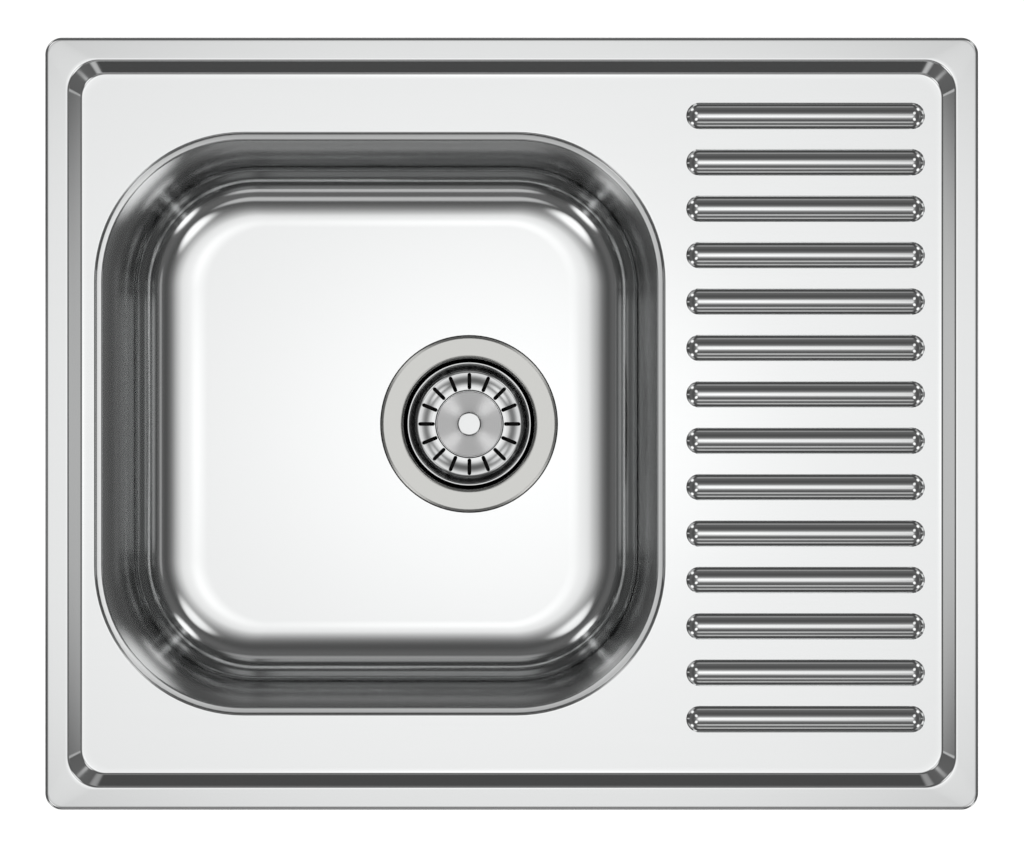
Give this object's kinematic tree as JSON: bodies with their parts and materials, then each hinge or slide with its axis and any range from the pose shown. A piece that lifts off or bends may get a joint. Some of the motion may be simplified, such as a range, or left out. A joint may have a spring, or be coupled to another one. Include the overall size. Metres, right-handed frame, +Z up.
{
  "type": "kitchen sink with drainboard",
  "caption": "Inset stainless kitchen sink: one rounded-square bowl on the left, a ribbed drainboard on the right, a raised rim, hooked rim clamps and a basket strainer waste.",
  "frame": {"origin": "plan centre of the rim, in the plane of the worktop that the rim sits on", "axes": "+X towards the drainboard, +Y towards the back, +Z up out of the bowl"},
  "size_m": [0.58, 0.48, 0.2412],
  "materials": {
    "brushed_stainless": "fine linen-brushed stainless sheet on the deck and rim",
    "satin_stainless": "satin drawn stainless of the bowl",
    "strainer_stainless": "satin stainless flange and cup",
    "polished_stainless": "polished stainless basket",
    "turned_stainless": "turned face with fine rings round its centre",
    "zinc_steel": "bright zinc-plated steel",
    "brass": "machined",
    "foam": "closed-cell foam strip",
    "black_rubber": "moulded, matt",
    "bitumen": "bitumen sheet, matt",
    "white_plastic": "moulded polypropylene"
  },
  "bodies": {
    "sink": {"deck_panel": "brushed_stainless", "bowl": "satin_stainless", "rim_seal": "foam", "sound_pad": "bitumen", "eyelet_right_back": "zinc_steel", "eyelet_right_front": "zinc_steel", "eyelet_back_left": "zinc_steel", "eyelet_back_right": "zinc_steel", "eyelet_left_back": "zinc_steel", "eyelet_left_front": "zinc_steel", "eyelet_front_left": "zinc_steel", "eyelet_front_right": "zinc_steel", "flange_seal": "black_rubber", "strainer_cup": "strainer_stainless", "lower_seal": "black_rubber", "waste_body": "white_plastic", "centre_bolt": "strainer_stainless", "insert_nut": "brass"},
    "basket_unit": {"basket": "polished_stainless", "basket_hub": "turned_stainless", "stem_o_ring": "black_rubber"},
    "stopper": {"stopper_knob": "turned_stainless", "stopper_stem": "strainer_stainless", "stopper_disc": "black_rubber"},
    "clip_right_back_unit": {"clip_right_back": "zinc_steel"},
    "clip_right_front_unit": {"clip_right_front": "zinc_steel"},
    "clip_back_left_unit": {"clip_back_left": "zinc_steel"},
    "clip_back_right_unit": {"clip_back_right": "zinc_steel"},
    "clip_left_back_unit": {"clip_left_back": "zinc_steel"},
    "clip_left_front_unit": {"clip_left_front": "zinc_steel"},
    "clip_front_left_unit": {"clip_front_left": "zinc_steel"},
    "clip_front_right_unit": {"clip_front_right": "zinc_steel"},
    "screw_right_back_unit": {"clip_screw_right_back": "zinc_steel"},
    "screw_right_front_unit": {"clip_screw_right_front": "zinc_steel"},
    "screw_back_left_unit": {"clip_screw_back_left": "zinc_steel"},
    "screw_back_right_unit": {"clip_screw_back_right": "zinc_steel"},
    "screw_left_back_unit": {"clip_screw_left_back": "zinc_steel"},
    "screw_left_front_unit": {"clip_screw_left_front": "zinc_steel"},
    "screw_front_left_unit": {"clip_screw_front_left": "zinc_steel"},
    "screw_front_right_unit": {"clip_screw_front_right": "zinc_steel"}
  },
  "joints": [
    {"name": "basket_lift", "type": "slide", "parent": "sink", "child": "basket_unit", "axis": [0, 0, 1], "range_m": [0, 0.2]},
    {"name": "stopper_pull", "type": "slide", "parent": "basket_unit", "child": "stopper", "axis": [0, 0, 1], "range_m": [0, 0.007]},
    {"name": "clip_right_back_swing", "type": "hinge", "parent": "sink", "child": "clip_right_back_unit", "pos_m": [0.266, 0.14, -0.0083], "axis": [0, 1, 0], "range_deg": [-23.4, 10]},
    {"name": "clip_right_front_swing", "type": "hinge", "parent": "sink", "child": "clip_right_front_unit", "pos_m": [0.266, -0.14, -0.0083], "axis": [0, 1, 0], "range_deg": [-23.4, 10]},
    {"name": "clip_back_left_swing", "type": "hinge", "parent": "sink", "child": "clip_back_left_unit", "pos_m": [-0.18, 0.216, -0.0083], "axis": [-1, 0, 0], "range_deg": [-23.4, 10]},
    {"name": "clip_back_right_swing", "type": "hinge", "parent": "sink", "child": "clip_back_right_unit", "pos_m": [0.18, 0.216, -0.0083], "axis": [-1, 0, 0], "range_deg": [-23.4, 10]},
    {"name": "clip_left_back_swing", "type": "hinge", "parent": "sink", "child": "clip_left_back_unit", "pos_m": [-0.266, 0.14, -0.0083], "axis": [0, -1, 0], "range_deg": [-23.4, 10]},
    {"name": "clip_left_front_swing", "type": "hinge", "parent": "sink", "child": "clip_left_front_unit", "pos_m": [-0.266, -0.14, -0.0083], "axis": [0, -1, 0], "range_deg": [-23.4, 10]},
    {"name": "clip_front_left_swing", "type": "hinge", "parent": "sink", "child": "clip_front_left_unit", "pos_m": [-0.18, -0.216, -0.0083], "axis": [1, 0, 0], "range_deg": [-23.4, 10]},
    {"name": "clip_front_right_swing", "type": "hinge", "parent": "sink", "child": "clip_front_right_unit", "pos_m": [0.18, -0.216, -0.0083], "axis": [1, 0, 0], "range_deg": [-23.4, 10]},
    {"name": "screw_right_back_travel", "type": "slide", "parent": "clip_right_back_unit", "child": "screw_right_back_unit", "axis": [0.3972, 0, 0.9178], "range_m": [-0.004, 0.01]},
    {"name": "screw_right_front_travel", "type": "slide", "parent": "clip_right_front_unit", "child": "screw_right_front_unit", "axis": [0.3972, 0, 0.9178], "range_m": [-0.004, 0.01]},
    {"name": "screw_back_left_travel", "type": "slide", "parent": "clip_back_left_unit", "child": "screw_back_left_unit", "axis": [0, 0.3972, 0.9178], "range_m": [-0.004, 0.01]},
    {"name": "screw_back_right_travel", "type": "slide", "parent": "clip_back_right_unit", "child": "screw_back_right_unit", "axis": [0, 0.3972, 0.9178], "range_m": [-0.004, 0.01]},
    {"name": "screw_left_back_travel", "type": "slide", "parent": "clip_left_back_unit", "child": "screw_left_back_unit", "axis": [-0.3972, 0, 0.9178], "range_m": [-0.004, 0.01]},
    {"name": "screw_left_front_travel", "type": "slide", "parent": "clip_left_front_unit", "child": "screw_left_front_unit", "axis": [-0.3972, 0, 0.9178], "range_m": [-0.004, 0.01]},
    {"name": "screw_front_left_travel", "type": "slide", "parent": "clip_front_left_unit", "child": "screw_front_left_unit", "axis": [0, -0.3972, 0.9178], "range_m": [-0.004, 0.01]},
    {"name": "screw_front_right_travel", "type": "slide", "parent": "clip_front_right_unit", "child": "screw_front_right_unit", "axis": [0, -0.3972, 0.9178], "range_m": [-0.004, 0.01]}
  ]
}
